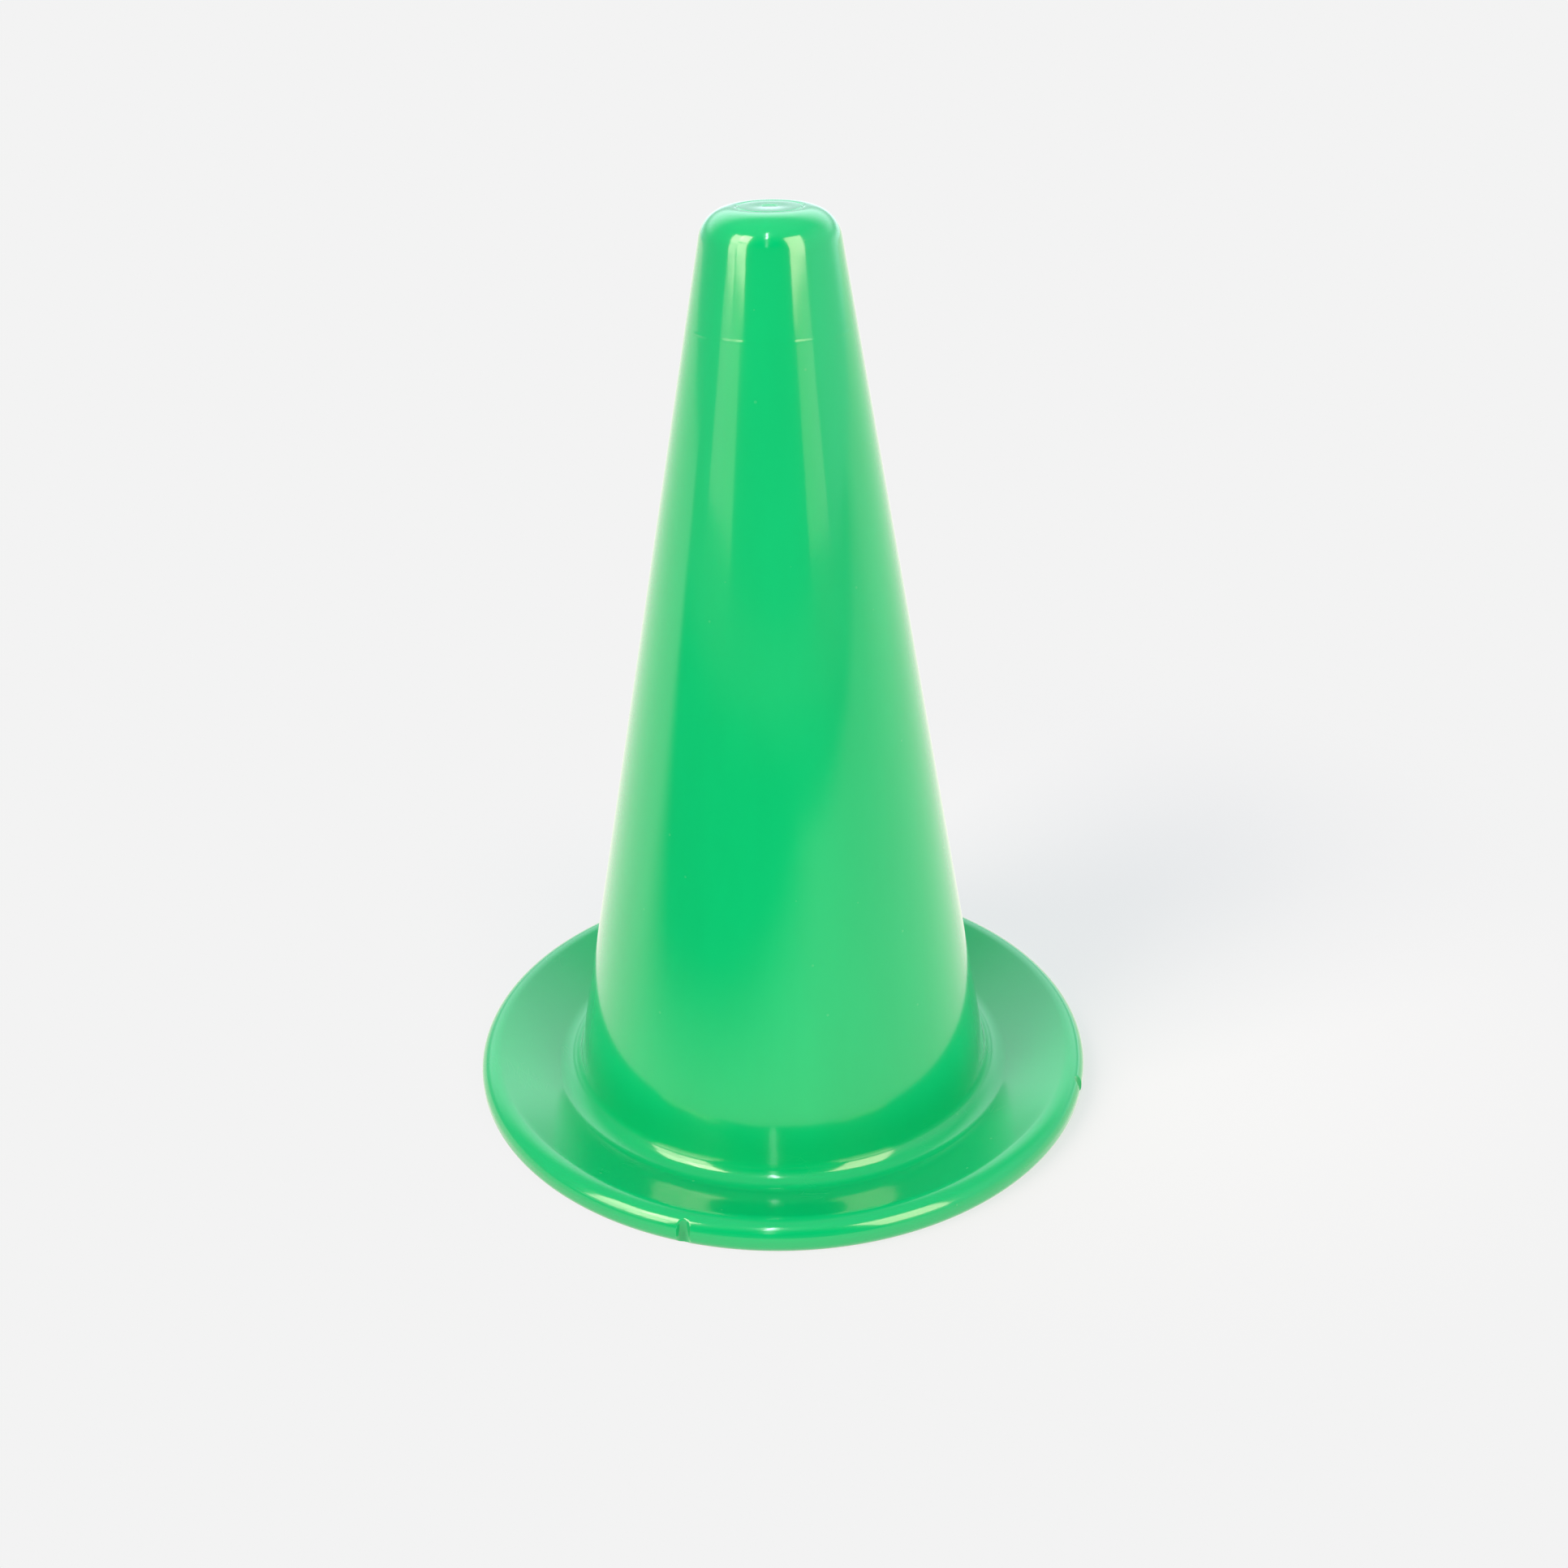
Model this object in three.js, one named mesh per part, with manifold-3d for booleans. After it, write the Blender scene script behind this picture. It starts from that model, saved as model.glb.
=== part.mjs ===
// Training cone: one injection-moulded piece, a hollow cone with a dished brim and a rolled lip.
// Millimetres, +Z up. The origin is on the floor, under the cone's axis.
import * as THREE from 'three';
import { mergeVertices } from 'three/addons/utils/BufferGeometryUtils.js';
import Module from 'manifold-3d';

const wasm = await Module();
wasm.setup();

// Overall sizes
const height = 193;
const brimDiameter = 140;

// The cone's wall: its radius where the straight side would meet the floor and the top plane
const wallFootRadius = 47.9;
const wallTopRadius = 12.65;
const wallThickness = 1.7;
const shoulderRound = 6.7;

// The brim: the ring at its foot, the rise out to the edge, and the lip that turns under
const footRingHeight = 1.6;
const footFillet = 4.15;
const edgeRound = 3.5;
const lipStraight = 0.7;
const lipRound = 2.6;

// Marks that the mould leaves: a line round the upper wall, a ring and a gate mark on the top
const tipLineBelowTop = 24.2;
const tipLineWidth = 0.6;
const tipLineProud = 0.1;
const ringGrooveWidth = 0.6;
const ringGrooveDepth = 0.25;
const ringGrooveFromEdge = 0.35;
const gateMarkRadius = 1.6;
const gateMarkDepth = 0.25;

// The two half-round notches in the lip, by their angle from the front towards the right
const notchAngles = [-17.3, 73.2];
const notchRadius = 1.45;
const notchDepth = 1.4;

// How finely the round forms are faceted
const stepsAround = 96;
const stepsPerNotch = 24;

const brimRadius = brimDiameter / 2;
const taper = (wallFootRadius - wallTopRadius) / height;
const wallTilt = Math.atan(taper);

const point = (radius, z) => new THREE.Vector2(radius, z);

// Radius of the straight side at a height, for the outside or for a face set in from it
function wallRadius(z, inset = 0) {
  return wallFootRadius - taper * z - inset / Math.cos(wallTilt);
}

// Points of an arc in the outline's plane, both ends included; angle 0 faces outwards, a quarter turn faces up
function arc(centre, radius, from, to, steps) {
  const points = [];
  for (let i = 0; i <= steps; i++) {
    const angle = from + (to - from) * i / steps;
    points.push(point(centre.x + radius * Math.cos(angle), centre.y + radius * Math.sin(angle)));
  }
  return points;
}

// Centres of the outline's round corners. They serve the outside and the inside alike,
// because the inside's arcs share them and differ by the wall's thickness.
const shoulderHeight = height - shoulderRound;
const shoulderCentre = point(wallRadius(shoulderHeight, shoulderRound), shoulderHeight);
const filletHeight = footRingHeight + footFillet;
const filletCentre = point(wallRadius(filletHeight, -footFillet), filletHeight);
const edgeCentre = point(brimRadius - edgeRound, lipRound + lipStraight);
const lipCentre = point(brimRadius - lipRound, lipRound);

// The brim is the straight line that touches the foot's fillet from below and the edge's arc from above
function brimSlope() {
  const across = edgeCentre.clone().sub(filletCentre);
  return Math.atan2(across.y, across.x) + Math.asin((footFillet + edgeRound) / across.length());
}

// Outline of the shell from the shoulder to the lip's end, set in from the outside by a thickness
function shellOutline(inset, steps) {
  const slope = brimSlope();
  const filletRadius = footFillet + inset;
  const fillet = { from: Math.PI + wallTilt, to: Math.PI * 1.5 + slope };
  return {
    shoulder: arc(shoulderCentre, shoulderRound - inset, Math.PI / 2, wallTilt, steps.shoulder),
    fillet: footArcs(filletRadius, fillet.from, fillet.to, steps.fillet),
    edge: arc(edgeCentre, edgeRound - inset, Math.PI / 2 + slope, 0, steps.edge),
    lip: arc(lipCentre, lipRound - inset, 0, -Math.PI / 2, steps.lip),
  };
}

// The fillet's arc. Where it would pass below the floor it is cut off flat, as the ring that the cone stands on.
function footArcs(radius, from, to, steps) {
  const below = radius - filletCentre.y;
  if (below <= 0) return arc(filletCentre, radius, from, to, steps);
  const half = Math.acos(filletCentre.y / radius);
  const lowest = Math.PI * 1.5;
  return [
    ...arc(filletCentre, radius, from, lowest - half, steps),
    ...arc(filletCentre, radius, lowest + half, to, 2),
  ];
}

// The fine raised line round the wall, where the mould's tip meets its body
function tipLine() {
  const middle = height - tipLineBelowTop;
  const half = tipLineWidth / 2;
  return [
    point(wallRadius(middle + half), middle + half),
    point(wallRadius(middle + half / 2, -tipLineProud), middle + half / 2),
    point(wallRadius(middle - half / 2, -tipLineProud), middle - half / 2),
    point(wallRadius(middle - half), middle - half),
  ];
}

// The flat top's outline, from the axis outwards: the gate mark and the ring groove near the flat's edge
function topOutline() {
  const grooveOuter = shoulderCentre.x - ringGrooveFromEdge;
  const grooveInner = grooveOuter - ringGrooveWidth;
  const grooveMiddle = (grooveInner + grooveOuter) / 2;
  return [
    point(0, height - gateMarkDepth),
    point(gateMarkRadius - gateMarkDepth, height - gateMarkDepth),
    point(gateMarkRadius, height),
    point(grooveInner, height),
    point(grooveMiddle, height - ringGrooveDepth),
    point(grooveOuter, height),
  ];
}

function shellProfile() {
  const outside = shellOutline(0, { shoulder: 8, fillet: 7, edge: 7, lip: 4 });
  const inside = shellOutline(wallThickness, { shoulder: 4, fillet: 6, edge: 4, lip: 2 });
  return [
    ...topOutline(),
    ...outside.shoulder,
    ...tipLine(),
    ...outside.fillet,
    ...outside.edge,
    ...outside.lip,
    ...inside.lip.reverse(),
    ...inside.edge.reverse(),
    ...inside.fillet.reverse(),
    ...inside.shoulder.reverse(),
    point(0, height - wallThickness),
  ];
}

// A three.js geometry as a manifold-3d solid: only positions, shared vertices merged, no empty triangles
function solidFrom(geometry) {
  geometry.deleteAttribute('normal');
  geometry.deleteAttribute('uv');
  const merged = mergeVertices(geometry, 1e-5);
  const index = merged.index.array;
  const triangles = [];
  for (let i = 0; i < index.length; i += 3) {
    const [a, b, c] = [index[i], index[i + 1], index[i + 2]];
    if (a !== b && b !== c && c !== a) triangles.push(a, b, c);
  }
  const mesh = new wasm.Mesh({
    numProp: 3,
    vertProperties: new Float32Array(merged.attributes.position.array),
    triVerts: new Uint32Array(triangles),
  });
  return new wasm.Manifold(mesh);
}

// A manifold-3d solid as a three.js geometry
function geometryFrom(solid) {
  const mesh = solid.getMesh();
  const geometry = new THREE.BufferGeometry();
  geometry.setAttribute('position', new THREE.BufferAttribute(new Float32Array(mesh.vertProperties), 3));
  geometry.setIndex(new THREE.BufferAttribute(new Uint32Array(mesh.triVerts), 1));
  geometry.computeVertexNormals();
  return geometry;
}

// The shell, revolved. The lathe turns about Y, so it is stood up on Z.
function shellSolid() {
  const lathe = new THREE.LatheGeometry(shellProfile().reverse(), stepsAround);
  lathe.rotateX(Math.PI / 2);
  return solidFrom(lathe);
}

// An upright round cutter for one notch, as tall as the lip and a little more at each end
function notchCutter(angle) {
  const over = 1;
  const tall = edgeCentre.y + edgeRound + 2 * over;
  const cutter = new THREE.CylinderGeometry(notchRadius, notchRadius, tall, stepsPerNotch);
  cutter.rotateX(Math.PI / 2);
  const turn = THREE.MathUtils.degToRad(angle);
  const reach = brimRadius + notchRadius - notchDepth;
  cutter.translate(reach * Math.sin(turn), -reach * Math.cos(turn), tall / 2 - over);
  return solidFrom(cutter);
}

function coneMoulding() {
  let solid = shellSolid();
  for (const angle of notchAngles) solid = solid.subtract(notchCutter(angle));
  const material = new THREE.MeshStandardMaterial({ color: '#12c76c', roughness: 0.22, metalness: 0 });
  const mesh = new THREE.Mesh(geometryFrom(solid), material);
  mesh.name = 'cone_moulding';
  return mesh;
}

const trainingCone = new THREE.Group();
trainingCone.add(coneMoulding());

export default trainingCone;
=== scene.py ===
"""Small green training cone, one thin polyethylene moulding, standing on a pale studio floor."""
import math

import bpy
from mathutils import Matrix, Vector


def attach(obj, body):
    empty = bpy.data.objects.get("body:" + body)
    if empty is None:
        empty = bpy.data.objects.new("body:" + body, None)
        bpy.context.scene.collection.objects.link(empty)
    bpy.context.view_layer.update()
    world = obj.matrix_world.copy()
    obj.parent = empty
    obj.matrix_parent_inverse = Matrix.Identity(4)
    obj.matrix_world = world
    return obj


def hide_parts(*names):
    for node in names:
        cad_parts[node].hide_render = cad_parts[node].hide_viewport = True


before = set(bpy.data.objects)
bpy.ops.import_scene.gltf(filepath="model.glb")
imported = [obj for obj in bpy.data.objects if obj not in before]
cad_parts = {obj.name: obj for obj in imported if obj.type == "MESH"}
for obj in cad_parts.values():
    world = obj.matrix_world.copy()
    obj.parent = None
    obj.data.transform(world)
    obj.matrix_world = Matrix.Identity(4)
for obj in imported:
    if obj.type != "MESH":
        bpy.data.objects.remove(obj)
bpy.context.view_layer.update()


# The photographer's view. The camera stands in front of the cone, 35 cm out and 25 cm up, and looks down
# on it. Its lens and place come from the cone's outline and from what its surface mirrors.
film_width = 36
view_lens = 41.34
nearest_seen = 0.01
view_place = Vector((0.0, -0.34955, 0.25075))
view_pitch = 0.47445
view_yaw = 0.00327
view_roll = -0.01426

forward = Vector((
    math.sin(view_yaw) * math.cos(view_pitch),
    math.cos(view_yaw) * math.cos(view_pitch),
    -math.sin(view_pitch),
))
level_right = Vector((math.cos(view_yaw), -math.sin(view_yaw), 0.0))
level_up = level_right.cross(forward)
right = math.cos(view_roll) * level_right + math.sin(view_roll) * level_up
up = math.cos(view_roll) * level_up - math.sin(view_roll) * level_right
view_turn = Matrix((right, up, -forward)).transposed().to_4x4()
lens = bpy.data.cameras.new("photographers_view")
lens.sensor_width = film_width
lens.lens = view_lens
lens.clip_start = nearest_seen
camera = bpy.data.objects.new("photographers_view", lens)
camera.matrix_world = Matrix.Translation(view_place) @ view_turn
bpy.context.scene.collection.objects.link(camera)
bpy.context.scene.camera = camera


# The cone is one injection moulding of green polyethylene, 1.7 mm thick: a straight wall with a rounded flat
# tip, a ring it stands on, a dished brim and a lip that turns under. It leaves the mould finished, with a gate
# mark and a ring groove on the tip, a fine line where the tip insert met the body, and two notches in the lip.
height = 0.193
brim_radius = 0.070
wall_foot_radius = 0.0479
wall_top_radius = 0.01265
foot_ring_height = 0.0016
foot_round = 0.00415
edge_round = 0.0035
lip_straight = 0.0007
lip_round = 0.0026
tip_line_drop = 0.0217

# The brim is the straight line that touches the foot's round from below and the edge's round from above.
# Carried on to the wall and to the lip, it gives the two sharp corners that these rounds are cut into.
taper = (wall_foot_radius - wall_top_radius) / height
foot_centre_z = foot_ring_height + foot_round
foot_centre_x = wall_foot_radius - taper * foot_centre_z + foot_round / math.cos(math.atan(taper))
edge_centre_x = brim_radius - edge_round
edge_centre_z = lip_round + lip_straight
across = edge_centre_x - foot_centre_x
rise = edge_centre_z - foot_centre_z
brim_slope = math.atan2(rise, across) + math.asin((foot_round + edge_round) / math.hypot(across, rise))
touch_x = foot_centre_x + foot_round * math.sin(brim_slope)
touch_z = foot_centre_z - foot_round * math.cos(brim_slope)
back = (touch_x - wall_foot_radius + taper * touch_z) / (1 + taper * math.tan(brim_slope))
foot_corner_x = touch_x - back
foot_corner_z = touch_z - back * math.tan(brim_slope)
edge_corner_z = touch_z + (brim_radius - touch_x) * math.tan(brim_slope)

# All sizes in metres. A notch is given by its direction, from the front towards the right.
cone_sizes = {
    "Height": height,
    "Tip radius": wall_top_radius,
    "Foot radius": foot_corner_x,
    "Foot height": foot_corner_z,
    "Brim radius": brim_radius,
    "Edge height": edge_corner_z,
    "Wall thickness": 0.0017,
    "Shoulder round": 0.0067,
    "Foot round": foot_round,
    "Edge round": edge_round,
    "Lip round": lip_round,
    "Gate mark radius": 0.0016,
    "Gate mark depth": 0.0001,
    "Ring groove radius": 0.00635,
    "Ring groove width": 0.0006,
    "Ring groove depth": 0.00015,
    "Tip line drop": tip_line_drop,
    "Tip line width": 0.0008,
    "Tip line proud": 0.000012,
    "Notch radius": 0.00145,
    "Notch depth": 0.0014,
    "First notch": math.radians(-17.3),
    "Second notch": math.radians(73.2),
    "Steps around": 288,
    "Steps over a notch": 40,
    "Steps in a round": 20,
}


def add(tree, kind, settings=None, sockets=None):
    """Add one node, set it up, and link or set each socket that is named or numbered."""
    made = tree.nodes.new(kind)
    for name, value in (settings or {}).items():
        setattr(made, name, value)
    for name, value in (sockets or {}).items():
        if isinstance(value, bpy.types.Node):
            value = next(output for output in value.outputs if output.enabled)
        if isinstance(value, bpy.types.NodeSocket):
            tree.links.new(value, made.inputs[name])
        else:
            made.inputs[name].default_value = value
    return made


# Settings that many nodes share
plus = {"operation": "ADD"}
minus = {"operation": "SUBTRACT"}
times = {"operation": "MULTIPLY"}
times_plus = {"operation": "MULTIPLY_ADD"}
over = {"operation": "DIVIDE"}
is_more = {"operation": "GREATER_THAN"}

spin = bpy.data.node_groups.new("spun_cone_moulding", "GeometryNodeTree")
spin.interface.new_socket("Geometry", in_out="INPUT", socket_type="NodeSocketGeometry")
for name, value in cone_sizes.items():
    kind = "NodeSocketInt" if isinstance(value, int) else "NodeSocketFloat"
    spin.interface.new_socket(name, in_out="INPUT", socket_type=kind).default_value = value
spin.interface.new_socket("Finish", in_out="INPUT", socket_type="NodeSocketMaterial")
spin.interface.new_socket("Geometry", in_out="OUTPUT", socket_type="NodeSocketGeometry")
size = add(spin, "NodeGroupInput").outputs

# Sharp corners of the outside, in the plane of the section, from the tip's centre to the end of the lip
gate_floor = add(spin, "ShaderNodeMath", minus, {0: size["Height"], 1: size["Gate mark depth"]})
gate_foot = add(spin, "ShaderNodeMath", minus, {0: size["Gate mark radius"], 1: size["Gate mark depth"]})
groove_floor = add(spin, "ShaderNodeMath", minus, {0: size["Height"], 1: size["Ring groove depth"]})
half_groove = add(spin, "ShaderNodeMath", times, {0: size["Ring groove width"], 1: 0.5})
groove_inside = add(spin, "ShaderNodeMath", minus, {0: size["Ring groove radius"], 1: half_groove})
groove_outside = add(spin, "ShaderNodeMath", plus, {0: size["Ring groove radius"], 1: half_groove})
lip_end = add(spin, "ShaderNodeMath", minus, {0: size["Brim radius"], 1: size["Lip round"]})
corner = {}
for name, x, z in (
    ("tip centre", 0.0, size["Height"]),
    ("gate centre", 0.0, gate_floor),
    ("gate foot", gate_foot, gate_floor),
    ("gate edge", size["Gate mark radius"], size["Height"]),
    ("groove inside", groove_inside, size["Height"]),
    ("groove floor", size["Ring groove radius"], groove_floor),
    ("groove outside", groove_outside, size["Height"]),
    ("shoulder", size["Tip radius"], size["Height"]),
    ("foot", size["Foot radius"], size["Foot height"]),
    ("edge", size["Brim radius"], size["Edge height"]),
    ("lip", size["Brim radius"], 0.0),
    ("lip end", lip_end, 0.0),
    ("tip line proud", size["Tip line proud"], 0.0),
):
    corner[name] = add(spin, "ShaderNodeCombineXYZ", None, {"X": x, "Z": z})

# Points along the straight wall, by how far below the top they are, and along the brim, by how far from the
# foot. The ones next to a round keep the straight parts' shading straight, and stand clear of the round.
clear_of_foot = 1.35
clear_of_edge = 1.65
wall_drop = add(spin, "ShaderNodeMath", minus, {0: size["Height"], 1: size["Foot height"]})
brim_reach = add(spin, "ShaderNodeMath", minus, {0: size["Brim radius"], 1: size["Foot radius"]})
half_line = add(spin, "ShaderNodeMath", times, {0: size["Tip line width"], 1: 0.5})
line_top = add(spin, "ShaderNodeMath", minus, {0: size["Tip line drop"], 1: half_line})
line_foot = add(spin, "ShaderNodeMath", plus, {0: size["Tip line drop"], 1: half_line})
beyond_foot = add(spin, "ShaderNodeMath", times, {0: size["Foot round"], 1: clear_of_foot})
above_foot = add(spin, "ShaderNodeMath", minus, {0: wall_drop, 1: beyond_foot})
edge_run = add(spin, "ShaderNodeMath", times, {0: size["Edge round"], 1: clear_of_edge})
before_edge = add(spin, "ShaderNodeMath", minus, {0: brim_reach, 1: edge_run})
for name, start, end, whole, part in (
    ("below shoulder", "shoulder", "foot", wall_drop, size["Shoulder round"]),
    ("tip line top", "shoulder", "foot", wall_drop, line_top),
    ("tip line middle", "shoulder", "foot", wall_drop, size["Tip line drop"]),
    ("tip line foot", "shoulder", "foot", wall_drop, line_foot),
    ("above foot", "shoulder", "foot", wall_drop, above_foot),
    ("beyond foot", "foot", "edge", brim_reach, beyond_foot),
    ("before edge", "foot", "edge", brim_reach, before_edge),
):
    along = add(spin, "ShaderNodeMath", over, {0: part, 1: whole})
    run = add(spin, "ShaderNodeVectorMath", minus, {0: corner[end], 1: corner[start]})
    corner[name] = add(spin, "ShaderNodeVectorMath", times_plus, {0: run, 1: along, 2: corner[start]})
stood_proud = {0: corner["tip line middle"], 1: corner["tip line proud"]}
corner["tip line crest"] = add(spin, "ShaderNodeVectorMath", plus, stood_proud)

# The outside carries the mould's marks and the inside doesn't. Each is drawn through its corners, which are
# then rounded. A round under 1 mm takes a sixth of the steps.
crest_round = 0.00012
rim_round = 0.0001
line_round = 0.00015
small_round = 0.001
small_share = 1 / 6
shell = (
    ("shoulder", size["Shoulder round"]),
    ("below shoulder", 0.0),
    ("above foot", 0.0),
    ("foot", size["Foot round"]),
    ("beyond foot", 0.0),
    ("before edge", 0.0),
    ("edge", size["Edge round"]),
    ("lip", size["Lip round"]),
    ("lip end", 0.0),
)
marks_on_tip = (
    ("gate centre", 0.0),
    ("gate foot", crest_round),
    ("gate edge", crest_round),
    ("groove inside", rim_round),
    ("groove floor", crest_round),
    ("groove outside", rim_round),
)
tip_line = (("tip line top", line_round), ("tip line crest", crest_round), ("tip line foot", line_round))
index = add(spin, "GeometryNodeInputIndex")
outline = {}
for side, corners in (
    ("outside", (*marks_on_tip, *shell[:2], *tip_line, *shell[2:])),
    ("inside", (("tip centre", 0.0), *shell)),
):
    place = add(spin, "GeometryNodeIndexSwitch", {"data_type": "VECTOR"}, {"Index": index})
    rounding = add(spin, "GeometryNodeIndexSwitch", {"data_type": "FLOAT"}, {"Index": index})
    for number, (name, radius) in enumerate(corners):
        for chooser in (place, rounding):
            if number > 1:
                chooser.index_switch_items.new()
        spin.links.new(corner[name].outputs[0], place.inputs[str(number)])
        if isinstance(radius, float):
            rounding.inputs[str(number)].default_value = radius
        else:
            spin.links.new(radius, rounding.inputs[str(number)])
    beads = add(spin, "GeometryNodeMeshLine", None, {"Count": len(corners)})
    string = add(spin, "GeometryNodeMeshToCurve", None, {"Mesh": beads})
    drawn = add(spin, "GeometryNodeSetPosition", None, {"Geometry": string, "Position": place})
    large = add(spin, "ShaderNodeMath", is_more, {0: rounding, 1: small_round})
    share = add(spin, "ShaderNodeMath", times_plus, {0: large, 1: 1 - small_share, 2: small_share})
    steps = add(spin, "ShaderNodeMath", times, {0: share, 1: size["Steps in a round"]})
    rounded = {"Curve": drawn, "Radius": rounding, "Count": steps}
    outline[side] = add(spin, "GeometryNodeFilletCurve", {"mode": "POLY"}, rounded)

# The inside is set in by the wall's thickness. Where that would pass below the floor, at the ring the cone
# stands on, it is cut off flat. The section lies at Y 0, so the limit of -1 m leaves Y alone.
along_outline = add(spin, "GeometryNodeInputTangent")
across_section = {0: (0.0, 1.0, 0.0), 1: along_outline}
inwards = add(spin, "ShaderNodeVectorMath", {"operation": "CROSS_PRODUCT"}, across_section)
by_thickness = {0: inwards, "Scale": size["Wall thickness"]}
set_in = add(spin, "ShaderNodeVectorMath", {"operation": "SCALE"}, by_thickness)
position = add(spin, "GeometryNodeInputPosition")
moved = add(spin, "GeometryNodeSetPosition", None, {"Geometry": outline["inside"], "Offset": set_in})
floor_cut = add(spin, "ShaderNodeVectorMath", {"operation": "MAXIMUM"}, {0: position, 1: (0.0, -1.0, 0.0)})
outline["inside"] = add(spin, "GeometryNodeSetPosition", None, {"Geometry": moved, "Position": floor_cut})

# Directions round the cone at which the section is set: even steps from the back, and close ones over the two
# notches. Close steps start 1.22 half widths of the notch before its middle and cover 2.5 of them.
close_start = -1.22
close_cover = 2.5
even_step = add(spin, "ShaderNodeMath", over, {0: 2 * math.pi, 1: size["Steps around"]})
even_angle = add(spin, "ShaderNodeMath", times_plus, {0: index, 1: even_step, 2: -math.pi})
even_count = add(spin, "FunctionNodeIntegerMath", plus, {0: size["Steps around"], 1: 1})
even_place = add(spin, "ShaderNodeCombineXYZ", None, {"X": even_angle})
even = add(spin, "GeometryNodePoints", None, {"Count": even_count, "Position": even_place})
cutter_edge = add(spin, "ShaderNodeMath", plus, {0: size["Brim radius"], 1: size["Notch radius"]})
cutter_reach = add(spin, "ShaderNodeMath", minus, {0: cutter_edge, 1: size["Notch depth"]})
half_notch = add(spin, "ShaderNodeMath", over, {0: size["Notch radius"], 1: cutter_reach})
close_step = add(spin, "ShaderNodeMath", over, {0: index, 1: size["Steps over a notch"]})
close_swing = add(spin, "ShaderNodeMath", times_plus, {0: close_step, 1: close_cover, 2: close_start})
directions = add(spin, "GeometryNodeJoinGeometry")
spin.links.new(even.outputs[0], directions.inputs[0])
for name in ("First notch", "Second notch"):
    close_angle = add(spin, "ShaderNodeMath", times_plus, {0: close_swing, 1: half_notch, 2: size[name]})
    close_place = add(spin, "ShaderNodeCombineXYZ", None, {"X": close_angle})
    close_points = {"Count": size["Steps over a notch"], "Position": close_place}
    close = add(spin, "GeometryNodePoints", None, close_points)
    spin.links.new(close.outputs[0], directions.inputs[0])
sort_angle = add(spin, "ShaderNodeSeparateXYZ", None, {0: position}).outputs["X"]
directions = add(spin, "GeometryNodeSortElements", None, {"Geometry": directions, "Sort Weight": sort_angle})

# A grid with a row for each point of both outlines and a column for each direction is bent into the cone. Its
# rows run down the outside and back up the inside.
curve_points = {"component": "CURVE"}
outside_rows = add(spin, "GeometryNodeAttributeDomainSize", curve_points, {"Geometry": outline["outside"]})
inside_rows = add(spin, "GeometryNodeAttributeDomainSize", curve_points, {"Geometry": outline["inside"]})
rows = add(spin, "FunctionNodeIntegerMath", plus, {0: outside_rows, 1: inside_rows})
cloud_points = {"component": "POINTCLOUD"}
columns = add(spin, "GeometryNodeAttributeDomainSize", cloud_points, {"Geometry": directions})
grid = add(spin, "GeometryNodeMeshGrid", None, {"Vertices X": columns, "Vertices Y": rows})
column = add(spin, "FunctionNodeIntegerMath", {"operation": "DIVIDE_FLOOR"}, {0: index, 1: rows})
row = add(spin, "FunctionNodeIntegerMath", {"operation": "MODULO"}, {0: index, 1: rows})
last_row = add(spin, "FunctionNodeIntegerMath", minus, {0: rows, 1: 1})
row_from_end = add(spin, "FunctionNodeIntegerMath", minus, {0: last_row, 1: row})
at_least = {"data_type": "INT", "operation": "GREATER_EQUAL"}
is_inside = add(spin, "FunctionNodeCompare", at_least, {2: row, 3: outside_rows})
place_at = {"data_type": "FLOAT_VECTOR"}
at_row = {"Geometry": outline["outside"], "Value": position, "Index": row}
outside_point = add(spin, "GeometryNodeSampleIndex", place_at, at_row)
at_row_from_end = {"Geometry": outline["inside"], "Value": position, "Index": row_from_end}
inside_point = add(spin, "GeometryNodeSampleIndex", place_at, at_row_from_end)
at_column = {"Geometry": directions, "Value": sort_angle, "Index": column}
angle = add(spin, "GeometryNodeSampleIndex", {"data_type": "FLOAT"}, at_column)
of_either = {"Switch": is_inside, "False": outside_point, "True": inside_point}
section_point = add(spin, "GeometryNodeSwitch", {"input_type": "VECTOR"}, of_either)
point = add(spin, "ShaderNodeSeparateXYZ", None, {0: section_point}).outputs

# The notches: the outside stays clear of an upright round cutter at each of the two directions
notch_rim_round = 0.00012
aside = {}
for name in ("First notch", "Second notch"):
    turn_from = add(spin, "ShaderNodeMath", minus, {0: angle, 1: size[name]})
    aside[name] = add(spin, "ShaderNodeMath", {"operation": "ABSOLUTE"}, {0: turn_from})
both = {0: aside["First notch"], 1: aside["Second notch"]}
nearest = add(spin, "ShaderNodeMath", {"operation": "MINIMUM"}, both)
from_notch = add(spin, "ShaderNodeMath", times, {0: nearest, 1: cutter_reach})
from_notch_squared = add(spin, "ShaderNodeMath", {"operation": "POWER"}, {0: from_notch, 1: 2.0})
cutter_squared = add(spin, "ShaderNodeMath", {"operation": "POWER"}, {0: size["Notch radius"], 1: 2.0})
cutter_left = add(spin, "ShaderNodeMath", minus, {0: cutter_squared, 1: from_notch_squared})
cutter_there = add(spin, "ShaderNodeMath", {"operation": "MAXIMUM"}, {0: cutter_left, 1: 0.0})
cutter_half_chord = add(spin, "ShaderNodeMath", {"operation": "SQRT"}, {0: cutter_there})
clear_radius = add(spin, "ShaderNodeMath", minus, {0: cutter_reach, 1: cutter_half_chord})
held_back = {0: point["X"], 1: clear_radius, 2: notch_rim_round}
notched = add(spin, "ShaderNodeMath", {"operation": "SMOOTH_MIN"}, held_back)
notched_outside = {"Switch": is_inside, "False": notched, "True": point["X"]}
from_cone_axis = add(spin, "GeometryNodeSwitch", {"input_type": "FLOAT"}, notched_outside)

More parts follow.
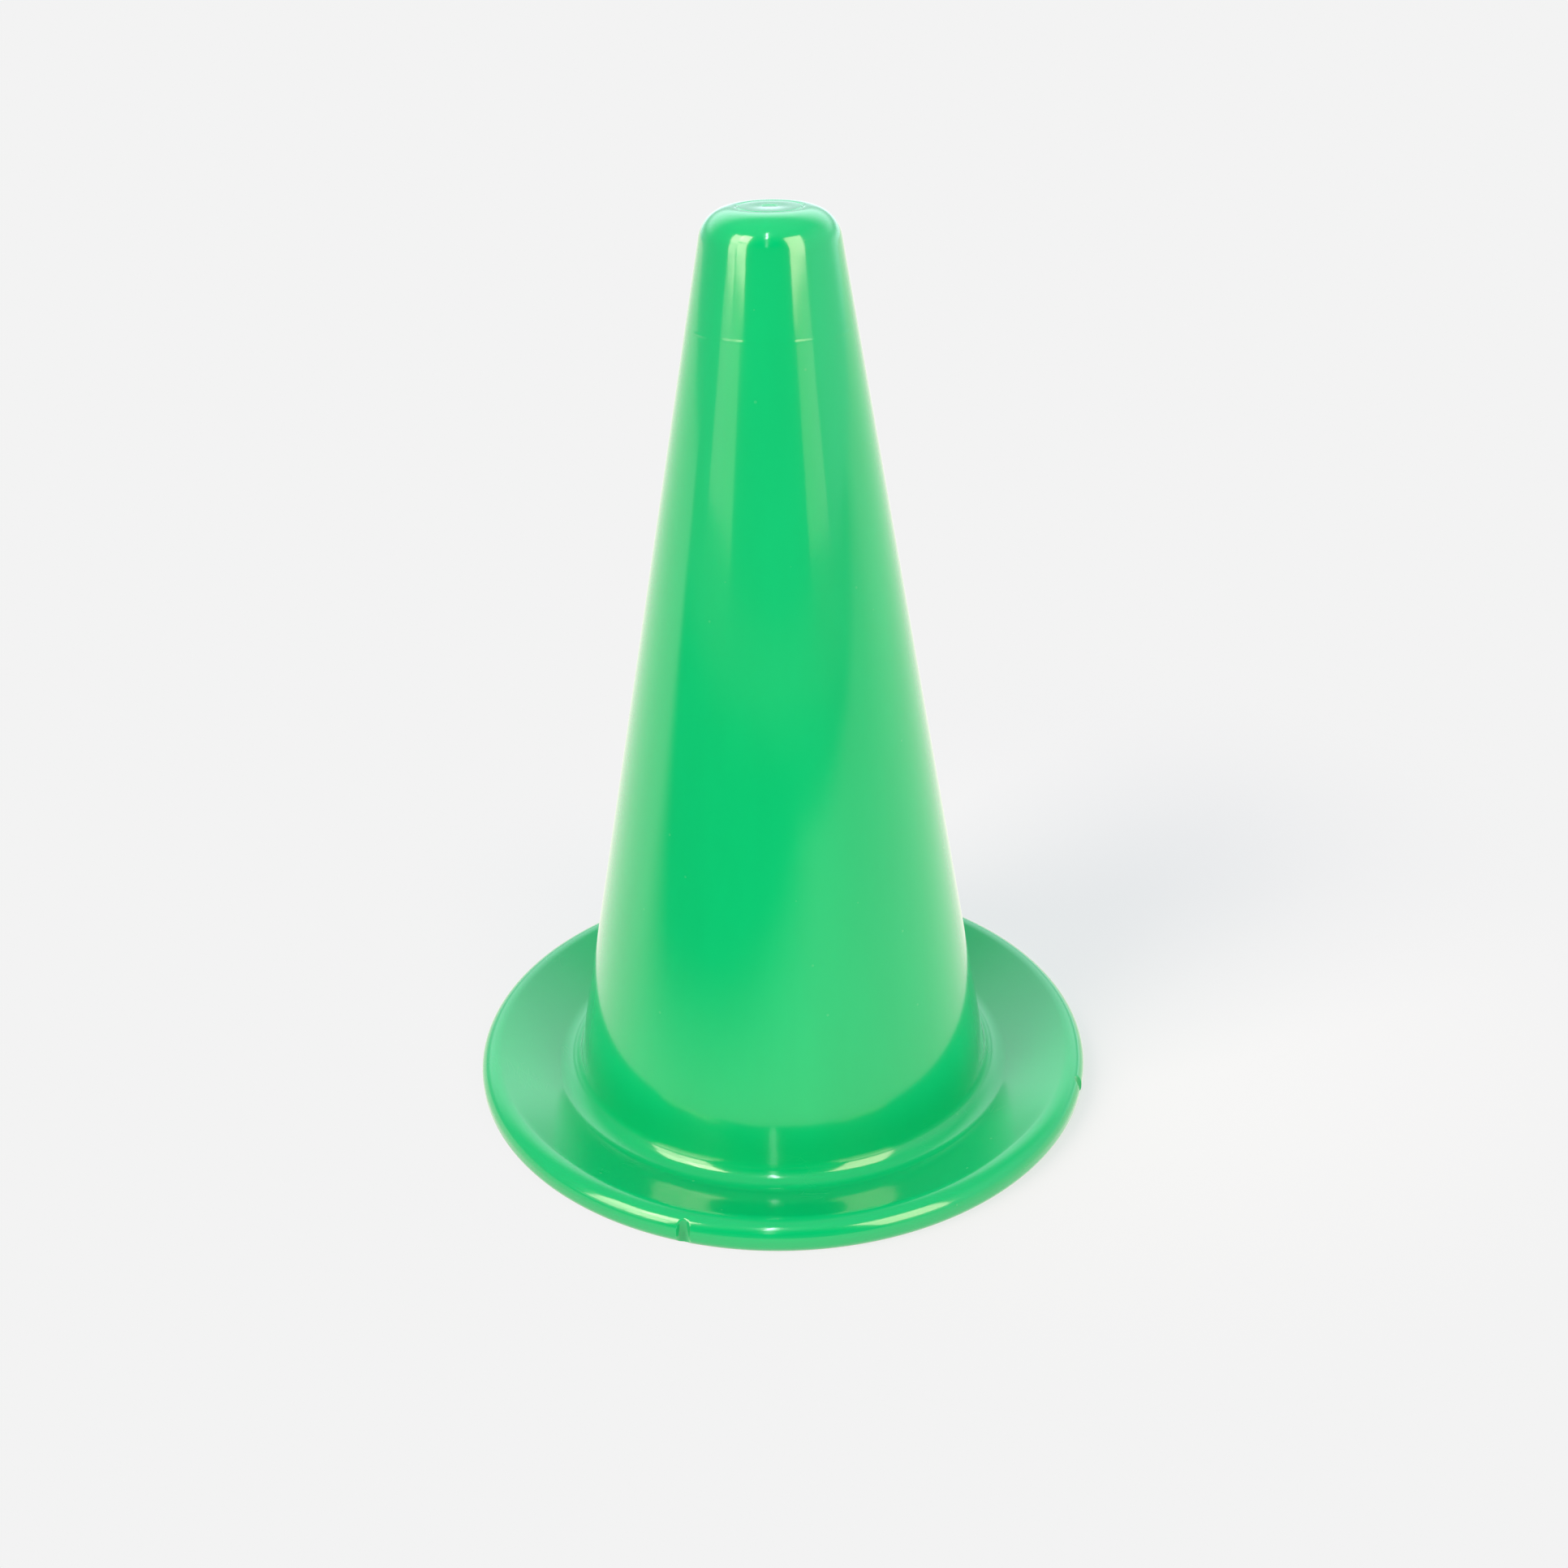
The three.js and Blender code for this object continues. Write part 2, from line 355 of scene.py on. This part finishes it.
# Bend the grid, close it where the section meets itself, and shade it smooth but for edges over 40 degrees
same_point = 5e-7
sharp_edge = math.radians(40)
sine = add(spin, "ShaderNodeMath", {"operation": "SINE"}, {0: angle})
cosine = add(spin, "ShaderNodeMath", {"operation": "COSINE"}, {0: angle})
towards_right = add(spin, "ShaderNodeMath", times, {0: from_cone_axis, 1: sine})
towards_front = add(spin, "ShaderNodeMath", times, {0: from_cone_axis, 1: cosine})
towards_back = add(spin, "ShaderNodeMath", times, {0: towards_front, 1: -1.0})
spun = add(spin, "ShaderNodeCombineXYZ", None, {"X": towards_right, "Y": towards_back, "Z": point["Z"]})
bent = add(spin, "GeometryNodeSetPosition", None, {"Geometry": grid, "Position": spun})
closed = add(spin, "GeometryNodeMergeByDistance", None, {"Geometry": bent, "Distance": same_point})
outwards = add(spin, "GeometryNodeFlipFaces", None, {"Mesh": closed})
edge_angle = add(spin, "GeometryNodeInputMeshEdgeAngle")
crease = add(spin, "FunctionNodeCompare", is_more, {0: edge_angle, 1: sharp_edge})
smooth = add(spin, "GeometryNodeSetShadeSmooth", None, {"Geometry": outwards})
sharp = {"Geometry": smooth, "Selection": crease, "Shade Smooth": False}
creased = add(spin, "GeometryNodeSetShadeSmooth", {"domain": "EDGE"}, sharp)
whole_cone = add(spin, "GeometryNodeRealizeInstances", None, {"Geometry": creased})
finished = add(spin, "GeometryNodeSetMaterial", None, {"Geometry": whole_cone, "Material": size["Finish"]})
add(spin, "NodeGroupOutput", None, {"Geometry": finished})


def linear(code):
    """Linear colour of an sRGB hex code."""
    parts = [int(code[i:i + 2], 16) / 255 for i in (1, 3, 5)]
    return (*(part / 12.92 if part <= 0.04045 else ((part + 0.055) / 1.055) ** 2.4 for part in parts), 1.0)


# Injection-moulded polyethylene, coloured in the mass. It leaves a polished mould with a bright clear shine
# over a soft haze, faint waves from uneven shrinkage, and pale streaks where the melt flowed from the gate. It
# is finely scuffed where it is stacked and slid over the ground. Below the tip line its polish is duller.
moulded = bpy.data.materials.new("injection_moulded_polyethylene")
moulded.use_nodes = True
plastic = moulded.node_tree
surface = plastic.nodes["Principled BSDF"]
for name, value in (
    ("IOR", 1.51),
    ("Specular IOR Level", 0.1),
    ("Coat Weight", 1.0),
    ("Coat Roughness", 0.1),
    ("Coat IOR", 1.57),
    ("Subsurface Weight", 0.12),
    ("Subsurface Radius", (0.6, 1.6, 0.9)),
    ("Subsurface Scale", 0.001),
):
    surface.inputs[name].default_value = value
gradual = {"interpolation_type": "SMOOTHSTEP"}
two_numbers = {"data_type": "FLOAT"}
two_colours = {"data_type": "RGBA"}

# Patterns are read in millimetres on the cone itself, and once more along its wall for streaks and scuffs
mm = 1000
mm_up_in_streaks = 140
on_cone = add(plastic, "ShaderNodeTexCoord").outputs["Object"]
in_mm = add(plastic, "ShaderNodeMapping", None, {"Vector": on_cone, "Scale": (mm, mm, mm)})
axes = add(plastic, "ShaderNodeSeparateXYZ", None, {0: in_mm}).outputs
level = add(plastic, "ShaderNodeVectorMath", times, {0: in_mm, 1: (1, 1, 0)})
from_axis = add(plastic, "ShaderNodeVectorMath", {"operation": "LENGTH"}, {0: level}).outputs["Value"]
stretched = add(plastic, "ShaderNodeMapping", None, {"Vector": on_cone, "Scale": (mm, mm, mm_up_in_streaks)})

# Flow streaks: about 12 mm wide and seven times as long, a shade lighter or darker than the mass
streak_width = 12
streak_noise = {"Vector": stretched, "Scale": 1 / streak_width, "Detail": 3.0, "Roughness": 0.55}
streaks = add(plastic, "ShaderNodeTexNoise", None, streak_noise)
mass_greens = {0: streaks, 6: linear("#00B86F"), 7: linear("#02C478")}
green = add(plastic, "ShaderNodeMix", two_colours, mass_greens)
# Painted shade: the foot and the brim rest on the ground, let no light through and lie in the shade of the
# valley at the foot, so their green is drawn a shade deeper, most towards the bottom
painted_foot_shade = add(plastic, "ShaderNodeMapRange", gradual, {
    "Value": axes["Z"], "From Min": 7.0, "From Max": 18.0, "To Min": 0.7, "To Max": 0.0,
})
green = add(plastic, "ShaderNodeMix", two_colours, {0: painted_foot_shade, 6: green.outputs[2], 7: linear("#00AE66")})
# Painted highlight: within 3 mm of the gate the flat top is drawn paler, for the pale glint on the gate mark
flat_top = 192
near_gate = add(plastic, "ShaderNodeMapRange", gradual, {
    "Value": from_axis, "From Min": 1.2, "From Max": 3.5, "To Min": 0.35, "To Max": 0.0,
})
on_top = add(plastic, "ShaderNodeMath", is_more, {0: axes["Z"], 1: flat_top})
painted_gate_glint = add(plastic, "ShaderNodeMath", times, {0: near_gate, 1: on_top})
green = add(plastic, "ShaderNodeMix", two_colours, {0: painted_gate_glint, 6: green.outputs[2], 7: linear("#5FD79A")})
# Dust: grains drawn 0.6 mm wide, coarser than real ones so that they show at all, on one patch in twelve
dust_spacing = 3.2
grain_radius = 0.09
bare_patches = 0.92
dust_cover = 0.04
grains = add(plastic, "ShaderNodeTexVoronoi", None, {"Vector": in_mm, "Scale": 1 / dust_spacing}).outputs
is_grain = add(plastic, "ShaderNodeMath", {"operation": "LESS_THAN"}, {0: grains["Distance"], 1: grain_radius})
lot = add(plastic, "ShaderNodeSeparateColor", None, {0: grains["Color"]})
is_drawn = add(plastic, "ShaderNodeMath", is_more, {0: lot, 1: bare_patches})
dust = add(plastic, "ShaderNodeMath", times, {0: is_grain, 1: is_drawn})
dust_share = add(plastic, "ShaderNodeMath", times, {0: dust, 1: dust_cover})
green = add(plastic, "ShaderNodeMix", two_colours, {0: dust_share, 6: green.outputs[2], 7: linear("#C9D6BE")})
plastic.links.new(green.outputs[2], surface.inputs["Base Color"])

# Scuffs: hair scratches some 10 mm long, in three directions. They gather on the lip and at the foot, where it
# rubs, in patches 14 mm across.
hair_spacing = 1.4
hair_depth = 6
hair_width = 0.035
patch_width = 14
turn = add(plastic, "ShaderNodeMath", {"operation": "ARCTAN2"}, {0: axes["X"], 1: axes["Y"]})
round_wall = add(plastic, "ShaderNodeMath", times, {0: turn, 1: from_axis})
unrolled = add(plastic, "ShaderNodeCombineXYZ", None, {"X": round_wall, "Y": axes["Z"], "Z": from_axis})
hairs = []
for lean, length in ((0.5, 9.0), (-0.9, 12.0), (1.5, 10.0)):
    cells = (1 / length, 1 / hair_spacing, 1 / hair_depth)
    lay = {"Vector": unrolled, "Rotation": (0.0, 0.0, lean), "Scale": cells}
    laid = add(plastic, "ShaderNodeMapping", None, lay)
    to_edge = {"feature": "DISTANCE_TO_EDGE"}
    lines = add(plastic, "ShaderNodeTexVoronoi", to_edge, {"Vector": laid, "Scale": 1.0})
    hairs.append(add(plastic, "ShaderNodeMapRange", None, {
        "Value": lines, "From Min": 0.0, "From Max": hair_width, "To Min": 1.0, "To Max": 0.0,
    }))
scuff = hairs[0]
for hair in hairs[1:]:
    scuff = add(plastic, "ShaderNodeMath", {"operation": "MAXIMUM"}, {0: scuff, 1: hair})
rubbed = add(plastic, "ShaderNodeMapRange", gradual, {
    "Value": axes["Z"], "From Min": 3.0, "From Max": 12.0, "To Min": 0.6, "To Max": 0.12,
})
patches = add(plastic, "ShaderNodeTexNoise", None, {"Vector": in_mm, "Scale": 1 / patch_width, "Detail": 2.0})
patchy = add(plastic, "ShaderNodeMapRange", None, {"Value": patches, "From Min": 0.5, "From Max": 0.68})
where = add(plastic, "ShaderNodeMath", times, {0: rubbed, 1: patchy})
scuffed = add(plastic, "ShaderNodeMath", times, {0: scuff, 1: where})

# Gloss: the clear bright shine is the coat, set above. Under it lies a haze, a little less above the tip line
# than below it, uneven over a few centimetres, and stronger in scuffs and dust.
line_up = (height - tip_line_drop) * mm
haze_below = 0.22
haze_above = 0.2
cloud_width = 22
cloud_haze = 0.08
scuff_haze = 0.15
dust_haze = 0.1
above_line = add(plastic, "ShaderNodeMath", is_more, {0: axes["Z"], 1: line_up})
polish = add(plastic, "ShaderNodeMix", two_numbers, {0: above_line, 2: haze_below, 3: haze_above})
clouds = add(plastic, "ShaderNodeTexNoise", None, {"Vector": in_mm, "Scale": 1 / cloud_width, "Detail": 4.0})
uneven = add(plastic, "ShaderNodeMath", times_plus, {0: clouds, 1: cloud_haze, 2: -cloud_haze / 2})
haze = add(plastic, "ShaderNodeMath", plus, {0: polish, 1: uneven})
haze = add(plastic, "ShaderNodeMath", times_plus, {0: scuffed, 1: scuff_haze, 2: haze})
haze = add(plastic, "ShaderNodeMath", times_plus, {0: dust, 1: dust_haze, 2: haze})
plastic.links.new(haze.outputs[0], surface.inputs["Roughness"])

# Relief: shrinkage waves 9 mm across, orange peel 1.6 mm across, the scuffs' depth, and lathe marks round the
# tip. Widths in millimetres and depths in metres.
wave_width = 9
peel_width = 1.6
lathe_pitch = 0.35
wave_depth = 0.00002
peel_depth = 0.000003
scuff_depth = 0.0000015
lathe_depth = 0.0000008
waves = add(plastic, "ShaderNodeTexNoise", None, {"Vector": in_mm, "Scale": 1 / wave_width, "Detail": 0.0})
peel = add(plastic, "ShaderNodeTexNoise", None, {"Vector": in_mm, "Scale": 1 / peel_width, "Detail": 1.0})
waved = add(plastic, "ShaderNodeBump", None, {"Height": waves, "Distance": wave_depth})
peeled = add(plastic, "ShaderNodeBump", None, {"Height": peel, "Distance": peel_depth, "Normal": waved})
scratch = {"Height": scuffed, "Distance": scuff_depth, "Normal": peeled}
scratched = add(plastic, "ShaderNodeBump", {"invert": True}, scratch)
lathe_turns = add(plastic, "ShaderNodeMath", times, {0: from_axis, 1: 2 * math.pi / lathe_pitch})
lathe_wave = add(plastic, "ShaderNodeMath", {"operation": "SINE"}, {0: lathe_turns})
lathe = add(plastic, "ShaderNodeMath", times, {0: lathe_wave, 1: on_top})
relief = add(plastic, "ShaderNodeBump", None, {"Height": lathe, "Distance": lathe_depth, "Normal": scratched})
plastic.links.new(relief.outputs[0], surface.inputs["Normal"])
plastic.links.new(relief.outputs[0], surface.inputs["Coat Normal"])

blank = bpy.data.objects.new("cone_blank", bpy.data.meshes.new("cone_blank"))
bpy.context.scene.collection.objects.link(blank)
modifier = blank.modifiers.new("spun_cone_moulding", "NODES")
modifier.node_group = spin
for item in spin.interface.items_tree:
    if item.in_out == "INPUT" and item.name in cone_sizes:
        modifier[item.identifier] = cone_sizes[item.name]
    if item.name == "Finish":
        modifier[item.identifier] = moulded
evaluated = blank.evaluated_get(bpy.context.evaluated_depsgraph_get())
mesh = bpy.data.meshes.new_from_object(evaluated)
bpy.data.objects.remove(blank)
cone = bpy.data.objects.new("moulded_cone", mesh)
bpy.context.scene.collection.objects.link(cone)
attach(cone, "root")
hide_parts("cone_moulding")


# The studio floor: matt paper, laid flat and far wider than the picture. The camera sees it in one plain pale
# tone with the cone's soft shadow on it. For everything else it glows as painted light, which the cone mirrors
# and is lit by: bright at the sides and behind, with painted shade towards the photographer's left and where
# the photographer stands.
pale = "#F3F3F3"
floor_side = 4
floor_back = 8
bright_in_front = 0.78
bright_behind = 1.1
shade_near = 0.06
shade_far = 0.3
shadow_middle = (0.065, 0.065, 0.0)
shadow_depth = 0.45
floor_mesh = bpy.data.meshes.new("background_paper")
floor_corners = [
    (-floor_side, -floor_side, 0),
    (floor_side, -floor_side, 0),
    (floor_side, floor_back, 0),
    (-floor_side, floor_back, 0),
]
floor_mesh.from_pydata(floor_corners, [], [(0, 1, 2, 3)])
floor = bpy.data.objects.new("background_paper", floor_mesh)
bpy.context.scene.collection.objects.link(floor)
paper = bpy.data.materials.new("matt_background_paper")
paper.use_nodes = True
sheet = paper.node_tree
sheet.nodes.remove(sheet.nodes["Principled BSDF"])
on_floor = add(sheet, "ShaderNodeTexCoord").outputs["Object"]
floor_y = add(sheet, "ShaderNodeSeparateXYZ", None, {0: on_floor}).outputs["Y"]
in_front = add(sheet, "ShaderNodeMapRange", gradual, {
    "Value": floor_y, "From Min": -0.09, "From Max": 0.01, "To Min": 1.0, "To Max": 0.0,
})
to_left = {0: on_floor, 1: (-0.87, -0.495, 0.0)}
leftwards = add(sheet, "ShaderNodeVectorMath", {"operation": "DOT_PRODUCT"}, to_left).outputs["Value"]
on_left = add(sheet, "ShaderNodeMapRange", gradual, {
    "Value": leftwards, "From Min": 0.03, "From Max": 0.24,
})
far_in_front = add(sheet, "ShaderNodeMapRange", gradual, {
    "Value": floor_y, "From Min": -0.64, "From Max": -0.42, "To Min": 1.0, "To Max": 0.0,
})
near_shade = add(sheet, "ShaderNodeMath", times, {0: in_front, 1: on_left})
in_shade = add(sheet, "ShaderNodeMath", {"operation": "MAXIMUM"}, {0: near_shade, 1: far_in_front})
lit_tone = add(sheet, "ShaderNodeMapRange", gradual, {
    "Value": floor_y, "From Min": -0.35, "From Max": 0.1, "To Min": bright_in_front, "To Max": bright_behind,
})
from_cone = add(sheet, "ShaderNodeVectorMath", {"operation": "LENGTH"}, {0: on_floor}).outputs["Value"]
shade_tone = add(sheet, "ShaderNodeMapRange", gradual, {
    "Value": from_cone, "From Min": 0.8, "From Max": 1.6, "To Min": shade_near, "To Max": shade_far,
})
# Painted light and shade: the glow that the cone mirrors and is lit by, dim where the shade is painted
glow = add(sheet, "ShaderNodeMix", two_numbers, {0: in_shade, 2: lit_tone, 3: shade_tone})
glowing_paper = add(sheet, "ShaderNodeEmission", None, {"Color": linear("#FFFAF0"), "Strength": glow})
to_shadow = {0: on_floor, 1: shadow_middle}
from_shadow = add(sheet, "ShaderNodeVectorMath", {"operation": "DISTANCE"}, to_shadow).outputs["Value"]
shadow_share = add(sheet, "ShaderNodeMapRange", gradual, {
    "Value": from_shadow, "From Min": 0.05, "From Max": 0.18, "To Min": shadow_depth, "To Max": 0.0,
})
plain_tone = add(sheet, "ShaderNodeEmission", None, {"Color": linear(pale)})
lit_paper = add(sheet, "ShaderNodeBsdfDiffuse", None, {"Color": linear("#DFE2E8")})
seen_paper = add(sheet, "ShaderNodeMixShader", None, {0: shadow_share, 1: plain_tone, 2: lit_paper})
seen_by_camera = add(sheet, "ShaderNodeLightPath").outputs["Is Camera Ray"]
floor_finish = add(sheet, "ShaderNodeMixShader", None, {0: seen_by_camera, 1: glowing_paper, 2: seen_paper})
sheet.links.new(floor_finish.outputs[0], sheet.nodes["Material Output"].inputs["Surface"])
floor_mesh.materials.append(paper)


# The studio's lamps: a window of four panes on the left, one tall pane on the right, the lit wall under each,
# and a thin tube on the ceiling in front of the cone. All face the cone from 1.3 m and the camera sees none.
lamp_distance = 1.3
aim = Vector((0, 0, 0.1))
daylight = "#FFE8D2"
late_daylight = "#FFE2C8"
tube_light = "#EEF8FF"
for name, azimuth, elevation, width, tall, brightness, tint in (
    ("left_window_upper_outer_pane", -63, 37.5, 0.33, 0.44, 8.5, daylight),
    ("left_window_upper_inner_pane", -46, 40.5, 0.32, 0.44, 11.0, daylight),
    ("left_window_lower_outer_pane", -62, 19, 0.3, 0.42, 6.5, daylight),
    ("left_window_lower_inner_pane", -46.5, 20.2, 0.34, 0.42, 8.0, daylight),
    ("left_wall_under_window", -56, 5, 0.65, 0.2, 1.1, daylight),
    ("right_window_pane", 43, 29, 0.58, 0.84, 7.4, late_daylight),
    ("right_wall_under_window", 43, 5.5, 0.5, 0.2, 1.05, late_daylight),
    ("ceiling_tube", -7, 55, 0.03, 0.42, 40.0, tube_light),
    ("ceiling_tube_far_end", -6, 33, 0.06, 0.5, 3.0, tube_light),
):
    lamp = bpy.data.lights.new(name, "AREA")
    lamp.shape = "RECTANGLE"
    lamp.color = linear(tint)[:3]
    lamp.size = width
    lamp.size_y = tall
    lamp.energy = brightness * math.pi * width * tall
    around = math.radians(azimuth)
    upwards = math.radians(elevation)
    away = Vector((
        math.sin(around) * math.cos(upwards),
        -math.cos(around) * math.cos(upwards),
        math.sin(upwards),
    ))
    holder = bpy.data.objects.new(name, lamp)
    holder.location = aim + lamp_distance * away
    holder.rotation_euler = away.to_track_quat("Z", "Y").to_euler()
    holder.visible_camera = False
    bpy.context.scene.collection.objects.link(holder)


# The room that the cone mirrors: pale painted walls, brightest behind the cone, dim behind the photographer
# and a little brighter to the right, under a plain ceiling. The camera sees it in the floor's plain pale tone.
dim_wall = 0.17
side_wall = 0.42
back_wall = 1.5
back_wall_foot = 0.2
right_wall = 0.53
ceiling = 0.57
room = bpy.data.worlds.new("pale_room")
room.use_nodes = True
bpy.context.scene.world = room
walls = room.node_tree
walls.nodes.remove(walls.nodes["Background"])
outlook = add(walls, "ShaderNodeTexCoord").outputs["Generated"]
look = add(walls, "ShaderNodeSeparateXYZ", None, {0: outlook}).outputs
to_front = add(walls, "ShaderNodeMapRange", gradual, {
    "Value": look["Z"], "From Min": 0.15, "From Max": 0.45, "To Min": dim_wall, "To Max": 0.0,
})
to_side = add(walls, "ShaderNodeMapRange", gradual, {
    "Value": look["Y"], "From Min": -0.9, "From Max": -0.4, "To Min": to_front, "To Max": side_wall,
})
to_right = add(walls, "ShaderNodeMapRange", gradual, {
    "Value": look["X"], "From Min": 0.55, "From Max": 0.95, "To Min": 0.0, "To Max": right_wall,
})
to_back = add(walls, "ShaderNodeMapRange", gradual, {
    "Value": look["Y"], "From Min": 0.3, "From Max": 0.8, "To Min": 0.0, "To Max": back_wall,
})
above_foot_of_wall = add(walls, "ShaderNodeMapRange", gradual, {
    "Value": look["Z"], "From Min": 0.2, "From Max": 0.38, "To Min": back_wall_foot, "To Max": 1.0,
})
low = add(walls, "ShaderNodeMapRange", gradual, {
    "Value": look["Z"], "From Min": 0.05, "From Max": 0.2, "To Min": 1.0, "To Max": 0.0,
})
back_and_right = add(walls, "ShaderNodeMath", times_plus, {0: look["X"], 1: 0.3, 2: look["Y"]})
behind = add(walls, "ShaderNodeMapRange", gradual, {
    "Value": back_and_right, "From Min": 0.5, "From Max": 1.0, "To Min": 0.0, "To Max": 1.0,
})
sides = add(walls, "ShaderNodeMath", plus, {0: to_side, 1: to_right})
wall_tone = add(walls, "ShaderNodeMath", times_plus, {0: to_back, 1: above_foot_of_wall, 2: sides})
wall_tone = add(walls, "ShaderNodeMath", times_plus, {0: low, 1: behind, 2: wall_tone})
to_ceiling = add(walls, "ShaderNodeMapRange", gradual, {
    "Value": look["Z"], "From Min": 0.7, "From Max": 0.95, "To Min": 0.0, "To Max": 1.0,
})
room_tone = add(walls, "ShaderNodeMix", two_numbers, {0: to_ceiling, 2: wall_tone, 3: ceiling})
lit_room = add(walls, "ShaderNodeBackground", None, {"Color": linear("#E8F6FF"), "Strength": room_tone})
seen_room = add(walls, "ShaderNodeBackground", None, {"Color": linear(pale), "Strength": 1.0})
seen_by_camera = add(walls, "ShaderNodeLightPath").outputs["Is Camera Ray"]
room_finish = add(walls, "ShaderNodeMixShader", None, {0: seen_by_camera, 1: lit_room, 2: seen_room})
walls.links.new(room_finish.outputs[0], walls.nodes["World Output"].inputs["Surface"])

bpy.context.scene.view_settings.view_transform = "Standard"
